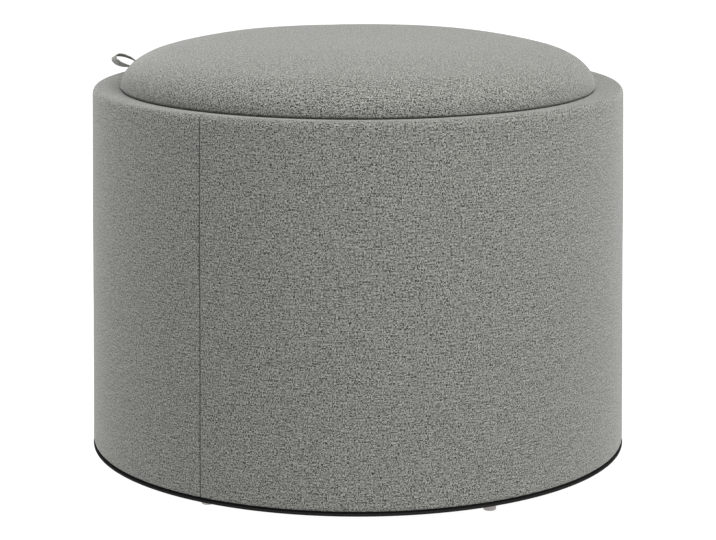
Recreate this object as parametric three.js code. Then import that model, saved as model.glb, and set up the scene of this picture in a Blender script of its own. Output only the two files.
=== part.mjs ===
// Round storage pouf: an upholstered drum on four small feet, with a domed lid that lifts off.
// Millimetres. +Z is up, the front faces -Y, and the origin is on the floor under the middle of the drum.
import * as THREE from 'three';

// Driving sizes of the drum
const BASE_WIDTH = 540;
const RIM_WIDTH = 526;
const WALL_SIDES = 96;
const FOOT_HEIGHT = 33;
const RIM_TOP = 396.7;

// Spare room between pieces that touch, and between the lid's plug and the mouth that it drops into
const SEAT_GAP = 0.3;
const LID_PLAY = 1;

// Bottom plate
const PLATE_EDGE_HEIGHT = 3.4;
const PLATE_EDGE_OUT = 0.2;
const PLATE_EDGE_ROUND = 0.8;
const FLOOR_THICKNESS = 16;
const FLOOR_PLAY = 0.5;

// Wall: its hem turns under above the plate, and its rim rolls over into the mouth
const HEM = { width: 1.4, height: 4 };
const RIM_OUTSIDE = { width: 6.5, height: 8.6, power: 2.5 };
const RIM_INSIDE = { height: 3.95, sidePower: 1.3, topPower: 2 };
const STORAGE_RADIUS = 221;
const LEDGE_HEIGHT = 360;
const LEDGE_ROUND = 2;

// The cover's upright seam: a narrow dip in the wall, left of the front
const SEAM_AZIMUTH = THREE.MathUtils.degToRad(-33.1);
const SEAM = { halfWidth: 2, depth: 1.1 };

// Feet
const FOOT = { topRadius: 7.2, bottomRadius: 6.3, round: 1.2, circle: 194.5, count: 4, sides: 24 };
const FIRST_FOOT = THREE.MathUtils.degToRad(-49);

// Lid: a straight plug, and a dome whose edge rolls under over the rim
const PLUG_RADIUS = 232.6;
const PLUG_ROUND = 4;
const DOME = { radius: 235.9, base: 391, height: 52.2, sidePower: 4, topPower: 2.25, steps: 15 };
const LID_ROLL = { top: 396.5, height: 1.9, steps: 4 };

// Pull loop: a tape folded double, standing out of the gap between the lid's edge and the rim
const TAPE = { width: 11.9, thickness: 1.2, steps: 60 };
const LOOP = {
  azimuth: THREE.MathUtils.degToRad(-90 - 22.8),
  heading: THREE.MathUtils.degToRad(-90 + 21.5),
  rise: THREE.MathUtils.degToRad(17.9),
  root: 395.1,
  bend: 401.3,
  length: 36.5,
  reach: 0.61,
  halfOpening: 7.6,
  opensAt: 0.2,
  openAt: 0.965,
  tipPower: 0.6,
  twist: THREE.MathUtils.degToRad(23),
  spread: THREE.MathUtils.degToRad(5.4),
};

const clothGrey = new THREE.Color(0x7f807b);
const finishes = {
  cloth: { color: clothGrey, roughness: 0.95, metalness: 0 },
  tape: { color: new THREE.Color(0x85867f), roughness: 0.95, metalness: 0 },
  plate: { color: new THREE.Color(0x1c1c1b), roughness: 0.6, metalness: 0 },
  foot: { color: new THREE.Color(0xb3aaa8), roughness: 0.5, metalness: 0 },
};

function piece(name, geometry, finish) {
  const mesh = new THREE.Mesh(geometry, new THREE.MeshStandardMaterial(finishes[finish]));
  mesh.name = name;
  return mesh;
}

// A point at an azimuth that is counted from the front towards the right
function around(azimuth, radius, height) {
  return new THREE.Vector3(radius * Math.sin(azimuth), -radius * Math.cos(azimuth), height);
}

// A quarter of a superellipse about (x, y), from its far side at angle 0 to its top at a quarter turn
function quarter(x, y, width, height, steps, widthPower = 2, heightPower = widthPower) {
  const points = [];
  for (let step = 0; step <= steps; step += 1) {
    const angle = (step / steps) * (Math.PI / 2);
    const across = Math.cos(angle) ** (2 / widthPower);
    const up = Math.sin(angle) ** (2 / heightPower);
    points.push(new THREE.Vector2(x + width * across, y + height * up));
  }
  return points;
}

// A profile of radius and height turned round the upright axis
function turned(profile, sides) {
  return new THREE.LatheGeometry(profile, sides).rotateX(Math.PI / 2);
}

// The wall leans in a little from its foot to its rim
function wallRadius(height) {
  const lean = (BASE_WIDTH - RIM_WIDTH) / 2 / (RIM_TOP - RIM_OUTSIDE.height - FOOT_HEIGHT);
  return BASE_WIDTH / 2 - lean * (height - FOOT_HEIGHT);
}

function wallProfile() {
  const foot = FOOT_HEIGHT + PLATE_EDGE_HEIGHT + SEAT_GAP;
  const hemTop = foot + HEM.height;
  const shoulder = RIM_TOP - RIM_OUTSIDE.height;
  const mouth = PLUG_RADIUS + LID_PLAY;
  const hem = quarter(wallRadius(hemTop) - HEM.width, hemTop, HEM.width, -HEM.height, 4).reverse();
  const rimOut = wallRadius(shoulder) - RIM_OUTSIDE.width;
  const outside = quarter(rimOut, shoulder, RIM_OUTSIDE.width, RIM_OUTSIDE.height, 6, RIM_OUTSIDE.power);
  const lip = RIM_TOP - RIM_INSIDE.height;
  const { sidePower, topPower } = RIM_INSIDE;
  const slope = quarter(rimOut, lip, mouth - rimOut, RIM_INSIDE.height, 9, sidePower, topPower);
  const ledge = quarter(
    STORAGE_RADIUS + LEDGE_ROUND,
    LEDGE_HEIGHT - LEDGE_ROUND,
    -LEDGE_ROUND,
    LEDGE_ROUND,
    2,
  ).reverse();
  const outer = [...hem, ...outside];
  const inner = [...slope.reverse().slice(1), new THREE.Vector2(mouth, LEDGE_HEIGHT), ...ledge];
  const profile = [new THREE.Vector2(STORAGE_RADIUS, foot), ...outer, ...inner];
  profile.push(profile[0].clone());
  return { profile, outerCount: outer.length };
}

// The wall's columns are drawn together at the seam, and the outside dips there
function wall() {
  const { profile, outerCount } = wallProfile();
  const columns = WALL_SIDES + 2;
  const geometry = turned(profile, columns);
  const position = geometry.attributes.position;
  const seamAngle = SEAM.halfWidth / (BASE_WIDTH / 2);
  const panelAngle = (2 * Math.PI - 2 * seamAngle) / WALL_SIDES;
  for (let column = 0; column <= columns; column += 1) {
    const atSeam = column === 0 || column === columns;
    const turn = atSeam ? 0 : seamAngle + (column - 1) * panelAngle;
    profile.forEach((point, row) => {
      const dips = atSeam && row >= 1 && row <= outerCount;
      const radius = point.x - (dips ? SEAM.depth : 0);
      const place = around(SEAM_AZIMUTH + turn, radius, point.y);
      position.setXYZ(column * profile.length + row, place.x, place.y, place.z);
    });
  }
  geometry.computeVertexNormals();
  return piece('wall', geometry, 'cloth');
}

function basePlate() {
  const edge = BASE_WIDTH / 2 + PLATE_EDGE_OUT;
  const top = FOOT_HEIGHT + PLATE_EDGE_HEIGHT;
  const floorRadius = STORAGE_RADIUS - FLOOR_PLAY;
  const floorTop = FOOT_HEIGHT + FLOOR_THICKNESS;
  const profile = [
    new THREE.Vector2(0, FOOT_HEIGHT),
    new THREE.Vector2(edge - PLATE_EDGE_ROUND, FOOT_HEIGHT),
    new THREE.Vector2(edge, FOOT_HEIGHT + PLATE_EDGE_ROUND),
    new THREE.Vector2(edge, top - PLATE_EDGE_ROUND),
    new THREE.Vector2(edge - PLATE_EDGE_ROUND, top),
    new THREE.Vector2(floorRadius, top),
    new THREE.Vector2(floorRadius, floorTop),
    new THREE.Vector2(0, floorTop),
  ];
  return piece('base_plate', turned(profile, WALL_SIDES), 'plate');
}

function foot(index) {
  const top = FOOT_HEIGHT - SEAT_GAP;
  const flat = FOOT.bottomRadius - FOOT.round;
  const rounding = quarter(flat, FOOT.round, FOOT.round, -FOOT.round, 3).reverse();
  const profile = [
    new THREE.Vector2(0, 0),
    ...rounding,
    new THREE.Vector2(FOOT.topRadius, top),
    new THREE.Vector2(0, top),
  ];
  const mesh = piece(`foot_${index + 1}`, turned(profile, FOOT.sides), 'foot');
  mesh.position.copy(around(FIRST_FOOT + (index / FOOT.count) * 2 * Math.PI, FOOT.circle, 0));
  return mesh;
}

// The radius of the lid where the dome gives way to the roll
function lidEdgeRadius() {
  const rise = (LID_ROLL.top - DOME.base) / DOME.height;
  return DOME.radius * (1 - rise ** DOME.topPower) ** (1 / DOME.sidePower);
}

function lid() {
  const bottom = LEDGE_HEIGHT + SEAT_GAP;
  const flat = PLUG_RADIUS - PLUG_ROUND;
  const lowerEdge = quarter(flat, bottom + PLUG_ROUND, PLUG_ROUND, -PLUG_ROUND, 3).reverse();
  const overhang = lidEdgeRadius() - PLUG_RADIUS;
  const roll = quarter(PLUG_RADIUS, LID_ROLL.top, overhang, -LID_ROLL.height, LID_ROLL.steps).reverse();
  const dome = quarter(0, DOME.base, DOME.radius, DOME.height, DOME.steps, DOME.sidePower, DOME.topPower);
  dome[dome.length - 1].x = 0;
  const crown = dome.filter((point) => point.y > LID_ROLL.top);
  const profile = [new THREE.Vector2(0, bottom), ...lowerEdge, ...roll, ...crown];
  return piece('lid', turned(profile, WALL_SIDES), 'cloth');
}

// The tape's middle line runs up out of the gap, over the rim and on to the tip of the loop
function loopLine() {
  const radius = lidEdgeRadius() + SEAT_GAP + TAPE.thickness + SEAT_GAP / 2;
  const outward = around(LOOP.heading, Math.cos(LOOP.rise), Math.sin(LOOP.rise));
  const bend = around(LOOP.azimuth, radius, LOOP.bend);
  return new THREE.CubicBezierCurve3(
    around(LOOP.azimuth, radius, LOOP.root),
    bend,
    bend.clone().addScaledVector(outward, LOOP.length * LOOP.reach),
    bend.clone().addScaledVector(outward, LOOP.length),
  );
}

// Where the tape runs at a turn of 0 to half a circle, from one end over the tip to the other end
function tapeFrame(line, turn) {
  const along = Math.sin(turn) ** LOOP.tipPower;
  const open = THREE.MathUtils.smoothstep(along, LOOP.opensAt, LOOP.openAt);
  const forward = line.getTangent(along);
  const heading = THREE.MathUtils.lerp(LOOP.azimuth, LOOP.heading, THREE.MathUtils.smoothstep(along, 0, 1));
  const level = around(heading + Math.PI / 2, -1, 0);
  const flat = level.addScaledVector(forward, -level.dot(forward)).normalize();
  const apart = new THREE.Vector3().crossVectors(flat, forward);
  const side = Math.cos(turn);
  flat.applyAxisAngle(forward, (LOOP.twist - LOOP.spread * side) * open);
  apart.applyAxisAngle(forward, LOOP.twist * open);
  const closed = (Math.sign(side) * (TAPE.thickness + SEAT_GAP)) / 2;
  const offset = closed * (1 - open) + side * LOOP.halfOpening * open;
  return { centre: line.getPoint(along).addScaledVector(apart, offset), across: flat };
}

function pullLoop() {
  const line = loopLine();
  const geometry = new THREE.BoxGeometry(1, TAPE.width, TAPE.thickness, TAPE.steps, 1, 1);
  const position = geometry.attributes.position;
  const frames = [];
  for (let step = 0; step <= TAPE.steps; step += 1) {
    frames.push(tapeFrame(line, (step / TAPE.steps) * Math.PI));
  }
  frames.forEach((frame, step) => {
    const before = frames[Math.max(step - 1, 0)].centre;
    const after = frames[Math.min(step + 1, TAPE.steps)].centre;
    const run = new THREE.Vector3().subVectors(after, before).normalize();
    frame.normal = new THREE.Vector3().crossVectors(run, frame.across).normalize();
  });
  for (let index = 0; index < position.count; index += 1) {
    const corner = new THREE.Vector3().fromBufferAttribute(position, index);
    const { centre, across, normal } = frames[Math.round((corner.x + 0.5) * TAPE.steps)];
    const place = centre.clone().addScaledVector(across, corner.y).addScaledVector(normal, corner.z);
    position.setXYZ(index, place.x, place.y, place.z);
  }
  geometry.computeVertexNormals();
  return piece('pull_loop', geometry, 'tape');
}

const drum = new THREE.Group();
drum.add(wall(), basePlate());
for (let index = 0; index < FOOT.count; index += 1) {
  drum.add(foot(index));
}

const cover = new THREE.Group();
cover.add(lid(), pullLoop());

const pouf = new THREE.Group();
pouf.add(drum, cover);

export default pouf;
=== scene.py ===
"""Round storage pouf: a cloth-covered drum on small feet, with a domed lid that lifts off."""

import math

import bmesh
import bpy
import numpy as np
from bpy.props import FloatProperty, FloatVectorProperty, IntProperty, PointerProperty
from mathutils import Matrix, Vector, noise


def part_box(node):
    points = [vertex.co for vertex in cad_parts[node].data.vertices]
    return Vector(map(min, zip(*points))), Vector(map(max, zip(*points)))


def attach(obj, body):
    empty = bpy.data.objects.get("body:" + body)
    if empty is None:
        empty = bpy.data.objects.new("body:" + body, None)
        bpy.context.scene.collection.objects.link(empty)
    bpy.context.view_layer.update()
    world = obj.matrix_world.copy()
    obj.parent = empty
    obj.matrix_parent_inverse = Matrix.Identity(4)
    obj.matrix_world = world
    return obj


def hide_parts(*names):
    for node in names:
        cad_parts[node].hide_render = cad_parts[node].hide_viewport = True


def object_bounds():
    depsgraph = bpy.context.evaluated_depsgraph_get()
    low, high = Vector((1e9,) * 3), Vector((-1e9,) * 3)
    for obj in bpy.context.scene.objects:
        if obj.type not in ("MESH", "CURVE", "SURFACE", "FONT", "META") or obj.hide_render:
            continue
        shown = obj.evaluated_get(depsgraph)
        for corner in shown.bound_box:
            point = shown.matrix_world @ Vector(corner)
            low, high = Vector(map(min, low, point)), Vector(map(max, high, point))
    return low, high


bl_info = {
    "name": "Round Storage Pouf",
    "version": (1, 0, 0),
    "blender": (4, 5, 0),
    "location": "3D View > Sidebar > Pouf",
    "description": "Cloth-covered drum with a domed lid, a pull loop, a black edge and small feet",
    "category": "Add Mesh",
}

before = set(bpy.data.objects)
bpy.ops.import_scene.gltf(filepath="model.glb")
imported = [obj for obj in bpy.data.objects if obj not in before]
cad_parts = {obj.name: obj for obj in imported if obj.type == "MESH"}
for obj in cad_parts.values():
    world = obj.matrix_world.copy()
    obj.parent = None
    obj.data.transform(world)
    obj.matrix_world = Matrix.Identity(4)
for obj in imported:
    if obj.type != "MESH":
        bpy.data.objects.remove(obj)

# What model.glb gives: the whole model's box, and each node's
FRAME_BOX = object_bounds()
WALL_LOW, WALL_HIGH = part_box("wall")
LID_LOW, LID_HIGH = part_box("lid")
PLATE_LOW, PLATE_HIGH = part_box("base_plate")
FEET = sorted(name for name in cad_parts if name.startswith("foot_"))

# Names of the cloth's map, the sewn line's shade and the cover's held part
CLOTH_MAP = "cloth"
CREASE = "crease"
PINNED = "pinned"

# Width of the photograph in pixels, and of the camera's sensor in millimetres
PICTURE_WIDTH = 716
SENSOR = 36

# Fineness of the meshes: sizes of faces in metres, and steps along curves
RIM_FACE = 0.0012
WALL_FACE = 0.009
MOUTH_FACE = 0.006
FOOT_FACE = 0.006
HIDDEN_FACE = 0.02
HEM_STEPS = 8
RIM_STEPS = 48
EDGE_STEPS = 4
FOOT_STEPS = 5
FOOT_COLUMNS = 48
DOME_STEPS = 400
ROLL_STEPS = 24
LID_EDGE_STEPS = 8
TAPE_STEPS = 8
TAPE_EDGE_STEPS = 6

# Points nearer to each other than this are one, and edges sharper than this stay sharp
SAME_PLACE = 1e-6
SHARP_EDGE = math.radians(35)

WHITE = (1.0, 1.0, 1.0, 1.0)


# Kinds of setting


def length(name, description, default):
    return FloatProperty(
        name=name, description=description, default=default, min=0, unit="LENGTH", precision=5
    )


def height(name, description, default):
    return FloatProperty(
        name=name, description=description, default=default, unit="LENGTH", precision=5
    )


def angle(name, description, degrees):
    return FloatProperty(
        name=name, description=description, default=math.radians(degrees), subtype="ANGLE"
    )


def share(name, description, default):
    return FloatProperty(
        name=name, description=description, default=default, min=0, max=1, subtype="FACTOR"
    )


def amount(name, description, default):
    return FloatProperty(name=name, description=description, default=default, min=0)


def count(name, description, default):
    return IntProperty(name=name, description=description, default=default, min=2)


def colour(name, description, default):
    return FloatVectorProperty(
        name=name, description=description, default=default, min=0, max=1, subtype="COLOR"
    )


# Settings


class PoufCloth(bpy.types.PropertyGroup):
    """The heathered cloth of the covers and the tape."""

    dark: colour("Dark yarn", "Colour of the darkest yarn", (0.006, 0.006, 0.005))
    light: colour("Light yarn", "Colour of the lightest yarn", (0.274, 0.278, 0.255))
    # The tape's yarn is lighter than the covers' own: painted light on the loop, which the rim and
    # lid shade
    tape: colour("Tape yarn", "Colour of the tape's lightest yarn", (0.52, 0.526, 0.486))
    # Darker copy of the tape's yarn for the loop's inner faces: painted shade inside the loop
    back: colour("Tape back", "Colour of the lightest yarn on the tape's back", (0.16, 0.162, 0.15))
    pitch: length("Yarn pitch", "Distance from yarn to yarn", 0.001)
    run: count("Float", "Crossings that one yarn runs over", 4)
    relief: length("Relief", "Height of a yarn over the cloth", 0.0002)
    sheen: share("Sheen", "Light caught by the cloth's nap", 0.35)
    sheen_tint: colour("Sheen tint", "Colour of that light", (0.9, 0.9, 0.86))
    dashes: amount("Dashes", "How far the tones of the weft's long runs differ", 0.47)
    flecks: amount("Flecks", "How far the tones of the weft's single crossings differ", 0.27)
    stubs: amount("Stubs", "How far the tones of the warp's single crossings differ", 0.65)
    crossings: amount("Crossings", "How far the tones of all crossings differ", 0.52)
    wander: amount("Wander", "How many yarns the weave wanders aside", 2)
    wander_waves: amount("Wander waves", "Waves of that wandering in a metre", 40)
    crease_shade: share("Crease shade", "How much darker the sewn line is", 0.85)


class PoufDrum(bpy.types.PropertyGroup):
    """The drum's cover, plate and feet."""

    foot_width: length("Foot width", "Width of the drum at its foot", 0.540)
    rim_width: length("Rim width", "Width of the drum under its rim", 0.526)
    hem: length("Hem", "Width of the hem's turn", 0.0014)
    hem_rise: length("Hem rise", "Height of the hem's turn", 0.004)
    hem_lift: length("Hem lift", "How far the hem stays over the plate's edge", 0.0008)
    rim_outside: length("Rim outside", "Width of the rim's outer rounding", 0.0065)
    rim_outside_rise: length("Rim outside rise", "Height of the rim's outer rounding", 0.0086)
    rim_power: amount("Rim squareness", "Power of the outer rounding", 2.5)
    rim_slope: length("Rim slope", "How far the rim falls from its crest to the mouth", 0.00395)
    rim_slope_power: amount("Rim slope power", "Power of the slope across the rim", 1.3)
    mouth: length("Mouth", "Radius of the mouth", 0.2336)
    storage: length("Storage", "Radius of the storage space", 0.221)
    ledge: height("Ledge", "Height of the ledge under the lid", 0.360)
    ledge_round: length("Ledge rounding", "Radius of the ledge's edge", 0.002)
    columns: count("Columns", "Columns of faces round the drum", 300)
    swell: length("Padding swell", "How far the padding stands uneven", 0.00035)
    seam_at: angle("Seam", "Where the upright seam is, from the front to the right", -33.1)
    seam_fold: length("Seam fold", "Radius of each panel's turned-in edge", 0.0017)
    seam_shade: length("Seam shade", "How far the shade of the sewn line reaches", 0.0005)
    seam_fade: length("Seam fade", "How far under the rim's top the seam gets shallower", 0.004)
    seam_on_rim: share("Seam on the rim", "Depth of the seam on the rim, as a share", 0.4)
    seam_inside: share("Seam inside", "Depth of the seam on the slope, as a share of that", 0.4)
    slope_width: length("Slope width", "Width of the rim's slope beside the mouth", 0.0124)
    swell_from: length("Swell from", "Height over which the padding's swell begins", 0.03)
    plate_round: length("Plate rounding", "Radius of the plate's edges", 0.0008)
    plate_edge: length("Plate edge", "Thickness of the plate's edge", 0.0034)
    groove: length("Groove", "Height of the groove in the top of the plate's edge", 0.001)
    groove_depth: length("Groove depth", "Depth of that groove, under the hem", 0.0028)
    floor_gap: length("Floor gap", "Gap round the plate's raised floor", 0.0005)
    foot_round: length("Foot rounding", "Radius of a foot's lower edge", 0.0012)
    foot_taper: share("Foot taper", "A foot's lower width as a share of its upper one", 0.875)


class PoufLid(bpy.types.PropertyGroup):
    """The lid's cushion."""

    base: height("Dome base", "Height of the middle of the dome's curve", 0.391)
    radius: length("Dome radius", "Radius of the dome at its base", 0.2359)
    side_power: amount("Side squareness", "Power of the dome's side", 4)
    top_power: amount("Top squareness", "Power of the dome's top", 2.4)
    roll_top: height("Roll top", "Height where the dome rolls under", 0.3965)
    roll: length("Roll", "Height of the roll under the dome's edge", 0.0019)
    plug: length("Plug", "Radius of the plug under the dome", 0.2326)
    edge_round: length("Edge rounding", "Radius of the lid's lower edge", 0.004)
    turned_under: length("Turned under", "How far the cloth reaches under the lid", 0.022)
    cells: count("Cells", "Faces across the top", 72)
    ring_least: share("Closest rings", "Spacing of the rings at the roll, as a share", 0.15)
    ring_near: length("Close rings", "How far from the roll the rings are closest", 0.003)
    ring_far: length("Wide rings", "How far from the roll the rings are widest", 0.012)
    held_from: length("Held from", "Distance from the middle where the cover is held", 0.212)
    held_over: length("Held over", "Width over which the cover comes free", 0.070)
    filling_room: length(
        "Filling room", "How much smaller the cover is before it is filled", 0.0006
    )
    most_push: length("Most push", "How far the filling may push the cover", 0.0013)
    swell: length("Padding swell", "How far the padding stands uneven", 0.0004)
    pressure: amount("Pressure", "Pressure of the filling", 4)
    frames: count("Frames", "Frames that the filling takes to settle", 20)
    heather: amount("Heather", "Contrast of the yarns, as a share of the drum's", 1.15)


class PoufLoop(bpy.types.PropertyGroup):
    """The pull loop: a tape folded double, its two ends in the gap beside the lid."""

    width: length("Tape width", "Width of the tape", 0.0119)
    thickness: length("Tape thickness", "Thickness of the tape", 0.0012)
    at: angle("Place", "Where the loop is, from the front to the right", -112.8)
    heading: angle("Heading", "Where the loop points, from the front to the right", -68.5)
    rise: angle("Rise", "How steeply the loop rises", 17.9)
    twist: angle("Twist", "How far the open loop is turned about its own line", 23)
    spread: angle("Spread", "How far the loop's two halves turn apart", 5.4)
    root: height("Root", "Height where the tape comes out", 0.3951)
    bend: height("Bend", "Height where the tape bends outwards", 0.4013)
    reach: length("Reach", "How far the loop reaches from its bend", 0.0365)
    pull: share("Straightness", "How far the bend's tangent reaches", 0.61)
    opening: length("Opening", "Half the width of the open loop", 0.0076)
    opens_at: share("Opens at", "Share of the reach where the loop opens", 0.2)
    open_at: share("Open at", "Share of the reach where the loop is open", 0.965)
    tip_power: share("Tip power", "How round the tip is", 0.6)
    gap: length("Gap", "Distance between the two layers at the root", 0.0003)
    steps: count("Steps", "Steps along the tape", 120)


class PoufTrim(bpy.types.PropertyGroup):
    """Colours of the lining board, the plate and the feet."""

    board: colour("Board", "Colour of the lining board", (0.018, 0.018, 0.018))
    board_fleck: colour("Board fleck", "Colour of the board's flecks", (0.06, 0.06, 0.058))
    plate: colour("Plate", "Colour of the black plate", (0.006, 0.006, 0.006))
    plate_wear: colour("Plate wear", "Colour of the plate where it is worn", (0.014, 0.014, 0.014))
    foot: colour("Foot", "Colour of the feet", (0.40, 0.36, 0.355))
    foot_scuff: colour("Foot scuff", "Colour of scuffed plastic", (0.50, 0.455, 0.445))


class PoufStage(bpy.types.PropertyGroup):
    """Camera, light and floor."""

    camera_back: length("Camera distance", "How far in front of the drum's axis", 2.2846)
    camera_up: height("Camera height", "Height over the floor", 0.6978)
    camera_down: angle("Camera tilt", "How far it looks down", 12.15)
    focal: amount("Focal length in pixels", "Focal length in the picture's pixels", 2306)
    sky: amount("Sky", "Strength of the white surround", 0.6)
    floor: colour("Floor", "Colour of the floor", (0.12, 0.12, 0.12))
    floor_glow: amount("Floor glow", "Light from the floor itself", 0.99)
    left: amount("Left light", "Power of the light at the back left in watts", 10.5)
    right: amount("Right light", "Power of the high light at the front right in watts", 43)
    front: amount("Front light", "Power of the high light at the front in watts", 28)
    above: amount("Top light", "Power of the light above in watts", 9)


class PoufSettings(bpy.types.PropertyGroup):
    """All settings of the pouf."""

    cloth: PointerProperty(type=PoufCloth)
    drum: PointerProperty(type=PoufDrum)
    lid: PointerProperty(type=PoufLid)
    loop: PointerProperty(type=PoufLoop)
    trim: PointerProperty(type=PoufTrim)
    stage: PointerProperty(type=PoufStage)


# Finishes


def operator(operation):
    """An operator on sockets and numbers, and its reflected form."""
    return (
        lambda wire, other: wire.maths(operation, wire, other),
        lambda wire, other: wire.maths(operation, other, wire),
    )


class Wire:
    """A socket in an expression of values: arithmetic on it adds Math nodes."""

    __add__, __radd__ = operator("ADD")
    __sub__, __rsub__ = operator("SUBTRACT")
    __mul__, __rmul__ = operator("MULTIPLY")
    __truediv__, __rtruediv__ = operator("DIVIDE")
    __mod__, __rmod__ = operator("FLOORED_MODULO")

    def __init__(self, finish, socket):
        self.finish = finish
        self.socket = socket

    def __abs__(self):
        return self.maths("ABSOLUTE", self)

    def maths(self, operation, *values):
        sockets = dict(zip(("Value", "Value_001"), values))
        return self.finish.add("ShaderNodeMath", {"operation": operation}, sockets)

    def floor(self):
        return self.maths("FLOOR", self)

    def clamped(self):
        return self.maths("MINIMUM", self.maths("MAXIMUM", self, 0.0), 1.0)


class Finish:
    """A material that is being made, node by node."""

    def __init__(self, name):
        self.material = bpy.data.materials.new(name)
        self.material.use_nodes = True
        self.tree = self.material.node_tree
        self.tree.nodes.clear()

    def add(self, kind, settings, sockets, output=0):
        """Adds a node: first its settings, then its sockets' values or links. Gives one output."""
        node = self.tree.nodes.new(kind)
        for name, value in settings.items():
            setattr(node, name, value)
        for name, value in sockets.items():
            socket = next(s for s in node.inputs if s.identifier == name)
            if isinstance(value, Wire):
                self.tree.links.new(value.socket, socket)
            else:
                socket.default_value = value
        return Wire(self, node.outputs[output]) if node.outputs else None

    def on_cloth(self):
        """Places on the cloth, in metres."""
        return self.add("ShaderNodeUVMap", {"uv_map": CLOTH_MAP}, {})

    def on_piece(self):
        """Places on the piece, in metres."""
        return self.add("ShaderNodeTexCoord", {}, {}, output="Object")

    def parts(self, vector):
        """The first two values of a vector."""
        return [
            self.add("ShaderNodeSeparateXYZ", {}, {"Vector": vector}, output=axis)
            for axis in ("X", "Y")
        ]

    def blend(self, factor, first, second):
        """A colour between two, by a value."""
        return self.add(
            "ShaderNodeMix",
            {"data_type": "RGBA"},
            {"Factor_Float": factor, "A_Color": first, "B_Color": second},
            output=2,
        )

    def chance(self, x, y):
        """A random value for each whole x and y."""
        flat = {"noise_dimensions": "2D"}
        point = self.add("ShaderNodeCombineXYZ", {}, {"X": x, "Y": y})
        return self.add("ShaderNodeTexWhiteNoise", flat, {"Vector": point}, output="Value")

    def cloud(self, vector, scale, detail, output="Fac"):
        """Soft noise from 0 to 1."""
        sockets = {"Vector": vector, "Scale": scale, "Detail": detail}
        return self.add("ShaderNodeTexNoise", {}, sockets, output)

    def bump(self, rise, distance, strength):
        return self.add(
            "ShaderNodeBump", {}, {"Strength": strength, "Distance": distance, "Height": rise}
        )

    def surface(self, sockets):
        shader = self.add("ShaderNodeBsdfPrincipled", {}, sockets)
        self.add("ShaderNodeOutputMaterial", {}, {"Surface": shader})
        return self.material


def opaque(rgb):
    return (*rgb, 1.0)


# The weave's random draws: yarns have whole numbers, so halves are free for other draws
OTHER_DRAW = 0.5
SHIFT_DRAW = 5.5
MOST_SHIFT = 37.0


def woven(name, cloth, dark, light, contrast=1.0):
    """Heathered cloth: each yarn has its own tone, which changes along it."""
    finish = Finish(name)
    place = finish.on_cloth()
    wander = finish.parts(finish.cloud(place, cloth.wander_waves, detail=1.0, output="Color"))
    across, up = finish.parts(place)
    x = across / cloth.pitch + cloth.wander * wander[0]
    y = up / cloth.pitch + cloth.wander * wander[1]
    column = x.floor()
    row = y.floor()
    weft_pair = (row / 2.0).floor()
    warp_pair = (column / 2.0).floor()
    other_weft = 1.0 - 2.0 * (row % 2.0)
    other_warp = 1.0 - 2.0 * (column % 2.0)
    run = ((x + MOST_SHIFT * finish.chance(weft_pair, SHIFT_DRAW)) / cloth.run).floor()
    dashes = other_weft * (finish.chance(run, weft_pair) - 0.5)
    flecks = other_weft * (finish.chance(column, weft_pair + OTHER_DRAW) - 0.5)
    stubs = other_warp * (finish.chance(warp_pair + OTHER_DRAW, row) - 0.5)
    crossing = finish.chance(column, row) - 0.5
    weft_on_top = (column + row) % 2.0
    tone = (
        cloth.dashes * dashes
        + cloth.flecks * flecks
        + cloth.stubs * stubs
        + cloth.crossings * crossing
    )
    tone = 0.5 + contrast * tone
    crease = finish.add("ShaderNodeAttribute", {"attribute_name": CREASE}, {}, "Fac")
    tone = tone.clamped() * (1.0 - cloth.crease_shade * crease)
    side = abs(x - column - 0.5)
    lengthwise = abs(y - row - 0.5)
    crown = 1.0 - 2.0 * (side * (1.0 - weft_on_top) + lengthwise * weft_on_top)
    crown_share = 0.6
    relief = crown_share * crown + (1 - crown_share) * tone
    return finish.surface(
        {
            "Base Color": finish.blend(tone, opaque(dark), opaque(light)),
            "Roughness": 0.86 + 0.12 * tone,
            "Specular IOR Level": 0.25,
            "Sheen Weight": cloth.sheen,
            "Sheen Roughness": 0.45,
            "Sheen Tint": opaque(cloth.sheen_tint),
            "Normal": finish.bump(relief, cloth.relief, strength=0.6),
        }
    )


def dark_board(name, trim):
    """Dark lining board: flecked, flat and matt."""
    finish = Finish(name)
    place = finish.on_cloth()
    fleck = finish.cloud(place, scale=900.0, detail=3.0)
    stain = finish.cloud(place, scale=12.0, detail=2.0)
    fleck_share = 0.75
    tone = (fleck_share * fleck + (1 - fleck_share) * stain).clamped()
    return finish.surface(
        {
            "Base Color": finish.blend(tone, opaque(trim.board), opaque(trim.board_fleck)),
            "Roughness": 0.82 + 0.15 * fleck,
            "Specular IOR Level": 0.2,
            "Normal": finish.bump(fleck, distance=0.0002, strength=0.5),
        }
    )


def matt_black(name, trim):
    """Matt black plate, slightly grained."""
    finish = Finish(name)
    place = finish.on_piece()
    grain = finish.cloud(place, scale=1400.0, detail=2.0)
    wear = finish.cloud(place, scale=25.0, detail=3.0)
    return finish.surface(
        {
            "Base Color": finish.blend(wear, opaque(trim.plate), opaque(trim.plate_wear)),
            "Roughness": 0.7 + 0.2 * wear,
            "Specular IOR Level": 0.1,
            "Normal": finish.bump(grain, distance=0.00008, strength=0.35),
        }
    )


def pale_plastic(name, trim):
    """Pale moulded plastic, scuffed a little."""
    finish = Finish(name)
    place = finish.on_piece()
    scuff = finish.cloud(place, scale=180.0, detail=4.0)
    grain = finish.cloud(place, scale=2200.0, detail=2.0)
    return finish.surface(
        {
            "Base Color": finish.blend(scuff, opaque(trim.foot), opaque(trim.foot_scuff)),
            "Roughness": 0.42 + 0.2 * scuff,
            "Normal": finish.bump(grain, distance=0.00005, strength=0.3),
        }
    )


def pale_floor(name, stage):
    """White floor that glows, as a light table does."""
    finish = Finish(name)
    place = finish.on_piece()
    cloud = finish.cloud(place, scale=3.0, detail=2.0)
    return finish.surface(
        {
            "Base Color": opaque(stage.floor),
            "Roughness": 0.75 + 0.1 * cloud,
            "Emission Color": WHITE,
            "Emission Strength": stage.floor_glow,
        }
    )


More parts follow.
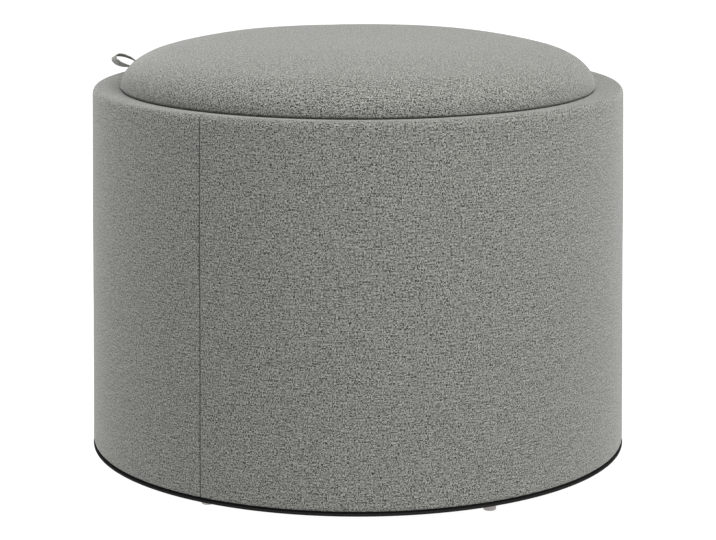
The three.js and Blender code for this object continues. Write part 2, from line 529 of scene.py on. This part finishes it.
def finish_named(name, make, *values):
    """The finish of that name, made once."""
    return bpy.data.materials.get(name) or make(name, *values)


# Outlines of radius and height


def quarter(centre, size, steps, powers=(2.0, 2.0)):
    """A quarter of a superellipse, from its far side round to its top."""
    turn = np.linspace(0, math.pi / 2, steps + 1)
    out = np.cos(turn).clip(0) ** (2 / powers[0])
    up = np.sin(turn) ** (2 / powers[1])
    return np.stack([centre[0] + size[0] * out, centre[1] + size[1] * up], axis=1)


def unit(vectors):
    return vectors / np.linalg.norm(vectors, axis=-1, keepdims=True)


def distance_along(outline):
    steps = np.linalg.norm(np.diff(outline, axis=0), axis=1)
    return np.concatenate([[0], np.cumsum(steps)])


def evenly(outline, spacing):
    """The outline again, with points about one spacing apart."""
    along = distance_along(outline)
    at = np.linspace(0, along[-1], max(2, round(along[-1] / spacing) + 1))
    return np.stack([np.interp(at, along, outline[:, k]) for k in range(2)], axis=1)


def chained(*runs):
    """One outline from several, where a run may begin at the last one's end."""
    whole = [runs[0]]
    for run in runs[1:]:
        touches = np.linalg.norm(run[0] - whole[-1][-1]) < SAME_PLACE
        whole.append(run[1:] if touches else run)
    return np.concatenate(whole)


def around(azimuth, radius, z):
    """Places at azimuths that are counted from the front towards the right."""
    return np.stack(
        np.broadcast_arrays(radius * np.sin(azimuth), -radius * np.cos(azimuth), z), axis=-1
    )


def polar(radius, turn, *z):
    """Places at a radius and a turn from the right, flat or at a height."""
    spots = np.broadcast_arrays(radius * np.cos(turn), radius * np.sin(turn), *z)
    return np.stack(spots, axis=-1)


def cloth_grid(across, up):
    """The cloth's own coordinates over a grid, from distances across and up it."""
    return np.stack(np.broadcast_arrays(across[None, :], up[:, None]), axis=-1)


def smoothstep(value, low, high):
    t = np.clip((value - low) / (high - low), 0, 1)
    return t * t * (3 - 2 * t)


# Meshes


def grid_faces(rows, columns, wraps):
    """Corners of the quads over a grid, as row and column numbers that may run one past its end."""
    row, column = np.meshgrid(
        np.arange(rows if wraps[0] else rows - 1),
        np.arange(columns if wraps[1] else columns - 1),
        indexing="ij",
    )
    steps = ((0, 0), (0, 1), (1, 1), (1, 0))
    return np.stack([np.stack([row + r, column + c], axis=-1) for r, c in steps], axis=2)


def linked(name, data):
    """A new object in the scene."""
    made = bpy.data.objects.new(name, data)
    bpy.context.scene.collection.objects.link(made)
    return made


def smoothed(mesh):
    mesh.polygons.foreach_set("use_smooth", np.ones(len(mesh.polygons), bool))


def grid_piece(name, places, cloth, wraps=(True, True)):
    """A smooth piece over rows and columns of places, with the cloth's coordinates as its map.

    The cloth's grid is one longer than the places' where it wraps.
    """
    rows, columns = places.shape[:2]
    faces = grid_faces(rows, columns, wraps)
    corners = (faces[..., 0] % rows) * columns + faces[..., 1] % columns
    spots = cloth[faces[..., 0], faces[..., 1]].astype(np.float32)
    mesh = bpy.data.meshes.new(name)
    mesh.from_pydata(places.reshape(-1, 3).tolist(), [], corners.reshape(-1, 4).tolist())
    mesh.uv_layers.new(name=CLOTH_MAP).uv.foreach_set("vector", spots.ravel())
    smoothed(mesh)
    mesh.update()
    return linked(name, mesh)


def joined_up(piece):
    """Merges places that coincide, as at the middle of a turned piece, and marks sharp edges."""
    shape = bmesh.new()
    shape.from_mesh(piece.data)
    bmesh.ops.remove_doubles(shape, verts=shape.verts, dist=SAME_PLACE)
    shape.to_mesh(piece.data)
    shape.free()
    piece.data.set_sharp_from_angle(angle=SHARP_EDGE)


def turned(name, outline, columns, centre=(0.0, 0.0)):
    """A closed piece turned from an outline that begins and ends on its own axis."""
    azimuth = np.linspace(0, 2 * math.pi, columns + 1)
    cloth = cloth_grid(azimuth * outline[:, 0].max(), distance_along(outline))
    places = around(azimuth[None, :-1], outline[:, :1], outline[:, 1:])
    piece = grid_piece(name, places + np.array([*centre, 0.0]), cloth, wraps=(False, True))
    joined_up(piece)
    return piece


def coated(piece, finishes, choose=None):
    """Gives a piece its finishes, and each face the number of the one that choose picks."""
    for finish in finishes:
        piece.data.materials.append(finish)
    if choose is not None:
        for face in piece.data.polygons:
            face.material_index = choose(face)


def placed(piece, body, slot, *nodes):
    """Sets a piece on its body, in place of its nodes; its slot is not used."""
    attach(piece, body)
    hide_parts(*nodes)


# Drum


# Columns of faces beside the seam, by their distance from it in radii of its fold
SEAM_COLUMNS = (0.0, 0.12, 0.3, 0.5, 0.72, 1.0, 1.4, 2.0, 3.0, 4.5)

# The padding's broad and small waves in a metre, and the small ones' share
BROAD_WAVES = 9.0
SMALL_WAVES = 31.0
SMALL_SHARE = 0.3

# Nearer to the mouth than this the cloth stays even
MOUTH_EDGE = 0.001

# Place of a ring of faces under a foot, as a share of its radius
FOOT_RING = 0.6


def wall_radius(drum, z):
    """The wall leans in a little from its foot to its rim."""
    foot = PLATE_LOW.z
    shoulder = WALL_HIGH.z - drum.rim_outside_rise
    lean = (drum.foot_width - drum.rim_width) / 2 / (shoulder - foot)
    return drum.foot_width / 2 - lean * (z - foot)


def cover_outlines(drum):
    """The cover from its hem to the ledge, and the inside from there back to the hem."""
    foot = WALL_LOW.z + drum.hem_lift
    hem_top = foot + drum.hem_rise
    shoulder = WALL_HIGH.z - drum.rim_outside_rise
    crest = wall_radius(drum, shoulder) - drum.rim_outside
    hem = quarter(
        (wall_radius(drum, hem_top) - drum.hem, hem_top), (drum.hem, -drum.hem_rise), HEM_STEPS
    )
    wall = np.array([[wall_radius(drum, z), z] for z in (hem_top, shoulder)])
    outside = quarter(
        (crest, shoulder),
        (drum.rim_outside, drum.rim_outside_rise),
        RIM_STEPS,
        (drum.rim_power, drum.rim_power),
    )
    inside = quarter(
        (crest, WALL_HIGH.z - drum.rim_slope),
        (drum.mouth - crest, drum.rim_slope),
        RIM_STEPS,
        (drum.rim_slope_power, 2),
    )
    ledge = quarter(
        (drum.storage + drum.ledge_round, drum.ledge - drum.ledge_round),
        (-drum.ledge_round, drum.ledge_round),
        EDGE_STEPS,
    )
    rim = evenly(chained(outside, inside[::-1]), RIM_FACE)
    mouth = np.array([inside[0], [drum.mouth, drum.ledge], ledge[-1]])
    cover = chained(
        hem[::-1], evenly(wall, WALL_FACE), rim, evenly(mouth[:2], MOUTH_FACE), mouth[1:]
    )
    lining = evenly(np.array([ledge[0], [drum.storage, foot]]), HIDDEN_FACE)
    return cover, chained(ledge[::-1], lining)[1:]


def seam_columns(drum):
    """Distances round the drum from the seam, close together near it."""
    reach = math.pi * drum.foot_width
    near = drum.seam_fold * np.array(SEAM_COLUMNS)
    far = np.linspace(near[-1], reach - near[-1], drum.columns)
    return np.concatenate([near, far[1:-1], reach - near[:0:-1]]), reach


def seam_dip(drum, distance):
    """How deep the two panels' edges turn in at the seam."""
    fold = drum.seam_fold
    left = np.clip(fold - distance, 0, fold)
    return fold - np.sqrt(fold**2 - left**2)


def seam_share(drum, outline, covered):
    """The seam's depth at each point of the outline, as a share of that on the wall."""
    on_rim = smoothstep(outline[:, 1], WALL_HIGH.z - drum.seam_fade, WALL_HIGH.z)
    depth = np.where(covered, 1 - (1 - drum.seam_on_rim) * on_rim, 0.0)
    on_slope = covered & (outline[:, 0] < drum.mouth + drum.slope_width)
    depth[on_slope] *= drum.seam_inside
    return depth


def swell_share(drum, outline):
    """The padding's swell at each point of the outline: none at the hem and inside the mouth."""
    over_hem = smoothstep(outline[:, 1], WALL_LOW.z, WALL_LOW.z + drum.swell_from)
    return over_hem * (outline[:, 0] > drum.mouth + MOUTH_EDGE)


def swell_at(place, size):
    """Soft unevenness of the padding at a place."""
    broad = noise.noise(Vector(place) * BROAD_WAVES) * size
    return broad + noise.noise(Vector(place) * SMALL_WAVES) * size * SMALL_SHARE


def drum_cover(drum):
    """The cover and the inside as one closed piece, and how many of its faces are cloth."""
    cover, lining = cover_outlines(drum)
    outline = np.concatenate([cover, lining])
    covered = np.arange(len(outline)) < len(cover)
    columns, reach = seam_columns(drum)
    from_seam = np.minimum(columns, reach - columns)
    azimuth = drum.seam_at + columns / reach * 2 * math.pi
    slope = np.roll(outline, -1, axis=0) - np.roll(outline, 1, axis=0)
    outward = unit(np.stack([slope[:, 1], -slope[:, 0]], axis=1))
    sewn = seam_share(drum, outline, covered)[:, None]
    flat = around(azimuth[None, :], outline[:, :1], outline[:, 1:])
    swell = np.array([[swell_at(place, drum.swell) for place in row] for row in flat])
    push = swell_share(drum, outline)[:, None] * swell - sewn * seam_dip(drum, from_seam)
    places = around(
        azimuth[None, :],
        outline[:, :1] + outward[:, :1] * push,
        outline[:, 1:] + outward[:, 1:] * push,
    )
    along = distance_along(np.concatenate([outline, outline[:1]]))
    cloth = cloth_grid(np.append(columns, reach), along)
    piece = grid_piece("drum_cover", places, cloth)
    shade = np.exp(-((from_seam / drum.seam_shade) ** 2)) * (sewn > 0)
    crease = piece.data.attributes.new(CREASE, "FLOAT", "POINT")
    crease.data.foreach_set("value", shade.astype(np.float32).ravel())
    return piece, (len(cover) - 1) * len(columns)


class POUF_OT_drum_cover(bpy.types.Operator):
    """Makes the drum's cloth cover with its seam, hem and rim"""

    bl_idname = "pouf.drum_cover"
    bl_label = "Drum Cover"

    def execute(self, context):
        settings = context.scene.pouf
        cloth = settings.cloth
        piece, cloth_faces = drum_cover(settings.drum)
        finishes = [
            finish_named("heathered_cloth", woven, cloth, cloth.dark, cloth.light),
            finish_named("lining_board", dark_board, settings.trim),
        ]
        coated(piece, finishes, lambda face: int(face.index >= cloth_faces))
        placed(piece, "drum", "cover_cloth", "wall")
        return {"FINISHED"}


def plate_outline(drum):
    """The plate from the middle of its underside to that of its top, and its edge's top."""
    edge = PLATE_HIGH.x
    low = PLATE_LOW.z
    lip = low + drum.plate_edge - drum.groove
    top = low + drum.plate_edge + drum.hem_lift
    turn = drum.plate_round
    root = edge - drum.groove_depth
    inner = drum.storage - drum.floor_gap
    under = evenly(np.array([[0, low], [edge - turn, low]]), HIDDEN_FACE)
    lower = quarter((edge - turn, low + turn), (turn, -turn), EDGE_STEPS)[::-1]
    upper = quarter((edge - turn, lip - turn), (turn, turn), EDGE_STEPS)
    groove = np.array([[root, lip], [root, top]])
    floor = np.array([[inner, top], [inner, PLATE_HIGH.z], [0, PLATE_HIGH.z]])
    return chained(under, lower, upper, groove, floor), top


class POUF_OT_bottom_plate(bpy.types.Operator):
    """Makes the black plate whose edge shows under the cloth"""

    bl_idname = "pouf.bottom_plate"
    bl_label = "Bottom Plate"

    def execute(self, context):
        settings = context.scene.pouf
        outline, top = plate_outline(settings.drum)
        piece = turned("bottom_plate", outline, settings.drum.columns)
        finishes = [
            finish_named("matt_black", matt_black, settings.trim),
            finish_named("lining_board", dark_board, settings.trim),
        ]
        coated(piece, finishes, lambda face: int(face.center.z > top + SAME_PLACE))
        placed(piece, "drum", "black_plate", "base_plate")
        return {"FINISHED"}


def foot_outline(drum, low, high):
    """A foot from the middle of its underside to the middle of its top."""
    top = (high.x - low.x) / 2
    bottom = top * drum.foot_taper
    turn = drum.foot_round
    rounding = quarter((bottom - turn, low.z + turn), (turn, -turn), FOOT_STEPS)[::-1]
    return chained(
        np.array([[0, low.z], [(bottom - turn) * FOOT_RING, low.z], rounding[0]]),
        rounding,
        evenly(np.array([rounding[-1], [top, high.z]]), FOOT_FACE),
        np.array([[0, high.z]]),
    )


class POUF_OT_feet(bpy.types.Operator):
    """Makes the small round feet"""

    bl_idname = "pouf.feet"
    bl_label = "Feet"

    def execute(self, context):
        settings = context.scene.pouf
        for node in FEET:
            low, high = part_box(node)
            middle = (low + high) / 2
            outline = foot_outline(settings.drum, low, high)
            piece = turned(f"pouf_{node}", outline, FOOT_COLUMNS, (middle.x, middle.y))
            coated(piece, [finish_named("pale_plastic", pale_plastic, settings.trim)])
            placed(piece, "drum", "foot_plastic", node)
        return {"FINISHED"}


# Lid


# Radius of the even squares on the lid's top, as a share of the lid's
TOP_SHARE = 0.86

# Height over the roll within which the padding's swell begins
LID_SWELL_FROM = 0.02

# What is less free than this is held, and the quality steps of the simulation
LEAST_FREE = 0.02
CLOTH_QUALITY = 5

# A face whose normal points lower than this is on the lid's underside
DOWNWARD = -0.7


def disc_of_squares(cells):
    """Radius and turn, in a disc of radius 1, of the corners of a square grid laid out in rings."""
    side = np.linspace(-1, 1, cells + 1)
    a, b = np.meshgrid(side, side, indexing="ij")
    wide = np.abs(a) > np.abs(b)
    radius = np.where(wide, a, b)
    safe = np.where(radius == 0, 1, radius)
    turn = np.where(wide, math.pi / 4 * b / safe, math.pi / 2 - math.pi / 4 * a / safe)
    return np.abs(radius), np.where(radius < 0, turn + math.pi, turn)


def lid_outline(lid):
    """The lid's cover from the middle of its top, over the roll, to the turn under its plug."""
    rise = LID_HIGH.z - lid.base
    powers = (lid.side_power, lid.top_power)
    dome = quarter((0, lid.base), (lid.radius, rise), DOME_STEPS, powers)
    dome = dome[dome[:, 1] > lid.roll_top]
    overhang = LID_HIGH.x - lid.plug
    roll = quarter((lid.plug, lid.roll_top), (overhang, -lid.roll), ROLL_STEPS)
    turn = lid.edge_round
    edge = quarter((lid.plug - turn, LID_LOW.z + turn), (turn, -turn), LID_EDGE_STEPS)
    return chained(dome[::-1], roll, edge)


def lid_place(outline, along, turn):
    """Places on the lid at a distance from its top's middle and a turn."""
    at = distance_along(outline)
    radius = np.interp(along, at, outline[:, 0])
    return polar(radius, turn, np.interp(along, at, outline[:, 1]))


def lid_rings(outline, start, spacing, lid):
    """Distances of the rings of faces round the lid's side, close together at the roll."""
    at = distance_along(outline)
    rings = [start]
    while rings[-1] < at[-1]:
        from_roll = abs(np.interp(rings[-1], at, outline[:, 1]) - lid.roll_top)
        wide = smoothstep(from_roll, lid.ring_near, lid.ring_far)
        rings.append(rings[-1] + spacing * (lid.ring_least + (1 - lid.ring_least) * wide))
    rings = np.array(rings)
    return start + (rings - start) * (at[-1] - start) / (rings[-1] - start)


def lid_grids(lid):
    """The lid's top, side and underside, each as places and the cloth's coordinates."""
    outline = lid_outline(lid)
    side_from = TOP_SHARE * LID_HIGH.x
    share_of_disc, turn = disc_of_squares(lid.cells)
    along = share_of_disc * side_from
    rings = lid_rings(outline, side_from, 2 * side_from / lid.cells, lid)[::-1, None]
    turns = np.linspace(-math.pi * 3 / 4, math.pi * 5 / 4, 4 * lid.cells + 1)
    radius = (share_of_disc * (lid.plug - lid.edge_round))[::-1]
    turn_under = turn[::-1]
    return (
        (lid_place(outline, along, turn), polar(along, turn)),
        (lid_place(outline, rings, turns[None, :-1]), polar(rings, turns)),
        (polar(radius, turn_under, LID_LOW.z), polar(radius, turn_under)),
    )


def lid_shape(lid):
    """The lid as one closed mesh of squares, even but for the closer rings at its roll."""
    shape = bmesh.new()
    for (places, cloth), wraps in zip(lid_grids(lid), (False, True, False)):
        part = grid_piece("lid_part", places, cloth, wraps=(False, wraps))
        shape.from_mesh(part.data)
        bpy.data.objects.remove(part)
    bmesh.ops.remove_doubles(shape, verts=shape.verts, dist=SAME_PLACE)
    bmesh.ops.recalc_face_normals(shape, faces=shape.faces)
    mesh = bpy.data.meshes.new("lid_cushion")
    shape.to_mesh(mesh)
    shape.free()
    return linked("lid_cushion", mesh)


def vectors_of(items, kind):
    flat = np.zeros(len(items) * 3, np.float32)
    items.foreach_get(kind, flat)
    return flat.reshape(-1, 3).astype(float)


def places_of(mesh):
    return vectors_of(mesh.vertices, "co")


def set_places(mesh, places):
    mesh.vertices.foreach_set("co", places.astype(np.float32).ravel())
    mesh.update()


def filled(piece, lid):
    """Draws the cover in by the filling's room, then lets the filling push it out again."""
    mesh = piece.data
    full = places_of(mesh)
    normals = vectors_of(mesh.vertex_normals, "vector")
    from_middle = np.linalg.norm(full[:, :2], axis=1)
    free = 1 - smoothstep(from_middle, lid.held_from - lid.held_over, lid.held_from)
    free = free * (full[:, 2] > lid.roll_top)
    room = lid.filling_room * free
    start = full - normals * room[:, None]
    set_places(mesh, start)
    group = piece.vertex_groups.new(name=PINNED)
    group.add([int(i) for i in np.flatnonzero(free < LEAST_FREE)], 1.0, "REPLACE")
    modifier = piece.modifiers.new("Filling", "CLOTH")
    modifier.settings.quality = CLOTH_QUALITY
    modifier.settings.use_pressure = True
    modifier.settings.uniform_pressure_force = lid.pressure
    modifier.settings.vertex_group_mass = PINNED
    modifier.settings.effector_weights.gravity = 0
    modifier.point_cache.frame_start = 1
    modifier.point_cache.frame_end = lid.frames
    scene = bpy.context.scene
    for step in range(1, lid.frames + 1):
        scene.frame_set(step)
    graph = bpy.context.evaluated_depsgraph_get()
    pushed = places_of(piece.evaluated_get(graph).data) - start
    scene.frame_set(1)
    piece.modifiers.remove(modifier)
    far = np.linalg.norm(pushed, axis=1)
    if far.max() < lid.filling_room / 2:
        raise RuntimeError("the lid's filling did not swell")
    kept = np.minimum(1, lid.most_push / np.maximum(far, SAME_PLACE))
    set_places(mesh, start + pushed * kept[:, None])


def swollen(piece, lid):
    """Soft unevenness of the lid's padding, none at the gap round it."""
    places = places_of(piece.data)
    rise = smoothstep(places[:, 2], lid.roll_top, lid.roll_top + LID_SWELL_FROM)
    places[:, 2] += rise * np.array([swell_at(place, lid.swell) for place in places])
    set_places(piece.data, places)


def refined(piece):
    """Divides each face in four, and rounds the mesh."""
    modifier = piece.modifiers.new("Finer", "SUBSURF")
    modifier.levels = modifier.render_levels = 1
    graph = bpy.context.evaluated_depsgraph_get()
    finer = bpy.data.meshes.new_from_object(piece.evaluated_get(graph), depsgraph=graph)
    piece.modifiers.remove(modifier)
    piece.data = finer
    smoothed(finer)


class POUF_OT_lid_cushion(bpy.types.Operator):
    """Makes the lid's domed cushion and lets its filling push the cover out"""

    bl_idname = "pouf.lid_cushion"
    bl_label = "Lid Cushion"

    def execute(self, context):
        settings = context.scene.pouf
        cloth = settings.cloth
        lid = settings.lid
        piece = lid_shape(lid)
        filled(piece, lid)
        swollen(piece, lid)
        refined(piece)
        finishes = [
            finish_named("lid_cloth", woven, cloth, cloth.dark, cloth.light, lid.heather),
            finish_named("lining_board", dark_board, settings.trim),
        ]
        board = lid.plug - lid.turned_under
        coated(
            piece,
            finishes,
            lambda face: int(face.normal.z < DOWNWARD and face.center.xy.length < board),
        )
        placed(piece, "lid", "cover_cloth", "lid")
        return {"FINISHED"}


# Pull loop


# Thickness of the tape's middle, as a share of its folded edges'
TAPE_MIDDLE = 0.86


def turned_about(vectors, axis, by):
    """Vectors turned about unit axes."""
    cos, sin = np.cos(by)[:, None], np.sin(by)[:, None]
    along = (vectors * axis).sum(1, keepdims=True) * axis
    return vectors * cos + np.cross(axis, vectors) * sin + along * (1 - cos)


def loop_frames(loop):
    """Middle, breadth and face of the tape at each step, from one end over the tip to the other."""
    radius = LID_HIGH.x + loop.gap + loop.thickness + loop.gap / 2
    outward = around(loop.heading, math.cos(loop.rise), math.sin(loop.rise))
    root, bend = (around(loop.at, radius, z) for z in (loop.root, loop.bend))
    pull = bend + outward * loop.reach * loop.pull
    tip = bend + outward * loop.reach
    turn = np.linspace(0, math.pi, loop.steps + 1)
    t = (np.sin(turn).clip(0) ** loop.tip_power)[:, None]
    middle = (
        root * (1 - t) ** 3
        + bend * 3 * t * (1 - t) ** 2
        + pull * 3 * t**2 * (1 - t)
        + tip * t**3
    )
    forward = unit(
        (bend - root) * (1 - t) ** 2
        + (pull - bend) * 2 * t * (1 - t)
        + (tip - pull) * t**2
    )
    open_by = smoothstep(t[:, 0], loop.opens_at, loop.open_at)
    heading = loop.at + (loop.heading - loop.at) * smoothstep(t[:, 0], 0, 1)
    level = around(heading + math.pi / 2, -1.0, 0.0)
    breadth = unit(level - forward * (level * forward).sum(1, keepdims=True))
    apart = np.cross(breadth, forward)
    side = np.cos(turn)
    breadth = turned_about(breadth, forward, (loop.twist - loop.spread * side) * open_by)
    apart = turned_about(apart, forward, loop.twist * open_by)
    closed = np.sign(side) * (loop.thickness + loop.gap) / 2
    offset = closed * (1 - open_by) + side * loop.opening * open_by
    middle = middle + apart * offset[:, None]
    face = unit(np.cross(np.gradient(middle, axis=0), breadth))
    return middle, breadth, face


def tape_section(loop):
    """The tape's section as breadth and face: flat, with rounded folded edges a little thicker."""
    half, thick = loop.width / 2, loop.thickness / 2
    across = np.linspace(-1, 1, TAPE_STEPS + 1)[1:-1]
    turn = np.linspace(-math.pi / 2, math.pi / 2, TAPE_EDGE_STEPS + 1)
    right = np.stack([half - thick + thick * np.cos(turn), thick * np.sin(turn)], axis=1)
    rise = thick * (TAPE_MIDDLE + (1 - TAPE_MIDDLE) * across**4)
    top = np.stack([across * (half - thick), rise], axis=1)[::-1]
    return np.concatenate([right, top, -right, -top])


def pull_loop_tape(loop):
    """The tape as one closed piece, the distances along it, and a place inside the loop."""
    middle, breadth, face = loop_frames(loop)
    section = tape_section(loop)
    places = (
        middle[:, None]
        + breadth[:, None] * section[None, :, :1]
        + face[:, None] * section[None, :, 1:]
    )
    along = distance_along(middle)
    girth = distance_along(np.concatenate([section, section[:1]]))
    lengthwise = cloth_grid(girth, along)[..., ::-1]
    piece = grid_piece("pull_loop_tape", places, lengthwise, wraps=(False, True))
    shape = bmesh.new()
    shape.from_mesh(piece.data)
    bmesh.ops.holes_fill(shape, edges=shape.edges)
    bmesh.ops.recalc_face_normals(shape, faces=shape.faces)
    shape.to_mesh(piece.data)
    shape.free()
    return piece, along, Vector(middle.mean(axis=0))


class POUF_OT_pull_loop(bpy.types.Operator):
    """Makes the pull loop of folded tape"""

    bl_idname = "pouf.pull_loop"
    bl_label = "Pull Loop"

    def execute(self, context):
        settings = context.scene.pouf
        loop = settings.loop
        cloth = settings.cloth
        piece, along, inside = pull_loop_tape(loop)
        finishes = [
            # Outer faces: the tape's cloth lightened as painted light; inner faces: a darker copy
            # as painted shade
            finish_named("heathered_tape", woven, cloth, cloth.dark, cloth.tape),
            finish_named("tape_back", woven, cloth, cloth.dark, cloth.back),
        ]
        # Faces turned towards the inside of the loop get the painted shade
        coated(piece, finishes, lambda face: int(face.normal.dot(inside - face.center) > 0))
        placed(piece, "lid", "loop_tape", "pull_loop")
        return {"FINISHED"}


# Stage


# The lights: each one's name, the setting of its power, its width and its place
LIGHTS = (
    ("light_left", "left", 1.2, (-1.9, 0.8, 1.3)),
    ("light_right", "right", 1.2, (1.5, -1.2, 1.9)),
    ("light_front", "front", 1.2, (0, -1.2, 2.2)),
    ("light_above", "above", 1.6, (0, 0, 2.4)),
)

# How far the floor reaches, and its faces across
FLOOR_REACH = 30.0
FLOOR_FACES = 8


def picture_camera(stage):
    """The camera that took the photograph, as fitted to the drum's outlines in it."""
    data = bpy.data.cameras.new("camera")
    data.sensor_width = SENSOR
    data.lens = stage.focal * SENSOR / PICTURE_WIDTH
    camera = linked("camera", data)
    camera.location = (0, -stage.camera_back, stage.camera_up)
    camera.rotation_euler = (math.pi / 2 - stage.camera_down, 0, 0)
    return camera


def white_surround(stage):
    world = bpy.data.worlds.new("white_surround")
    world.use_nodes = True
    surround = world.node_tree.nodes["Background"]
    surround.inputs["Color"].default_value = WHITE
    surround.inputs["Strength"].default_value = stage.sky
    return world


def area_light(name, power, size, place, aim):
    data = bpy.data.lights.new(name, "AREA")
    data.energy = power
    data.shape = "SQUARE"
    data.size = size
    light = linked(name, data)
    light.location = place
    light.rotation_euler = (Vector(aim) - Vector(place)).to_track_quat("-Z", "Y").to_euler()


def floor_piece(stage):
    """The floor, a grid of faces under the feet."""
    side = np.linspace(-FLOOR_REACH, FLOOR_REACH, FLOOR_FACES + 1)
    x, y = np.meshgrid(side, side, indexing="ij")
    places = np.stack([x, y, np.full_like(x, FRAME_BOX[0].z)], axis=-1)
    floor = grid_piece("floor", places, places[..., :2], wraps=(False, False))
    coated(floor, [finish_named("pale_floor", pale_floor, stage)])
    return floor


class POUF_OT_stage(bpy.types.Operator):
    """Sets up the camera, the soft white surround, the lights and the floor"""

    bl_idname = "pouf.stage"
    bl_label = "Stage"

    def execute(self, context):
        scene = context.scene
        stage = scene.pouf.stage
        scene.camera = picture_camera(stage)
        scene.world = white_surround(stage)
        scene.view_settings.view_transform = "Standard"
        aim = (0, 0, (FRAME_BOX[0].z + FRAME_BOX[1].z) / 2)
        for name, power, size, place in LIGHTS:
            area_light(name, getattr(stage, power), size, place, aim)
        floor = floor_piece(stage)
        return {"FINISHED"}


# Panel and registration


STEPS = (
    POUF_OT_stage,
    POUF_OT_drum_cover,
    POUF_OT_bottom_plate,
    POUF_OT_feet,
    POUF_OT_lid_cushion,
    POUF_OT_pull_loop,
)


class POUF_PT_sidebar(bpy.types.Panel):
    """Lists the pouf's settings and the operators that make its pieces"""

    bl_idname = "POUF_PT_sidebar"
    bl_label = "Round Storage Pouf"
    bl_space_type = "VIEW_3D"
    bl_region_type = "UI"
    bl_category = "Pouf"

    def draw(self, context):
        settings = context.scene.pouf
        for step in STEPS:
            self.layout.operator(step.bl_idname, text=step.bl_label)
        for name in PoufSettings.__annotations__:
            group = getattr(settings, name)
            box = self.layout.box()
            box.label(text=name.capitalize())
            for key in group.__annotations__:
                box.prop(group, key)


CLASSES = (
    PoufCloth,
    PoufDrum,
    PoufLid,
    PoufLoop,
    PoufTrim,
    PoufStage,
    PoufSettings,
    *STEPS,
    POUF_PT_sidebar,
)


def register():
    for made in CLASSES:
        bpy.utils.register_class(made)
    bpy.types.Scene.pouf = PointerProperty(type=PoufSettings)


def unregister():
    del bpy.types.Scene.pouf
    for made in reversed(CLASSES):
        bpy.utils.unregister_class(made)


def main():
    """Makes every piece in order."""
    register()
    bpy.ops.pouf.stage()
    bpy.ops.pouf.drum_cover()
    bpy.ops.pouf.bottom_plate()
    bpy.ops.pouf.feet()
    bpy.ops.pouf.lid_cushion()
    bpy.ops.pouf.pull_loop()
    bpy.context.view_layer.update()


if __name__ == "__main__":
    main()
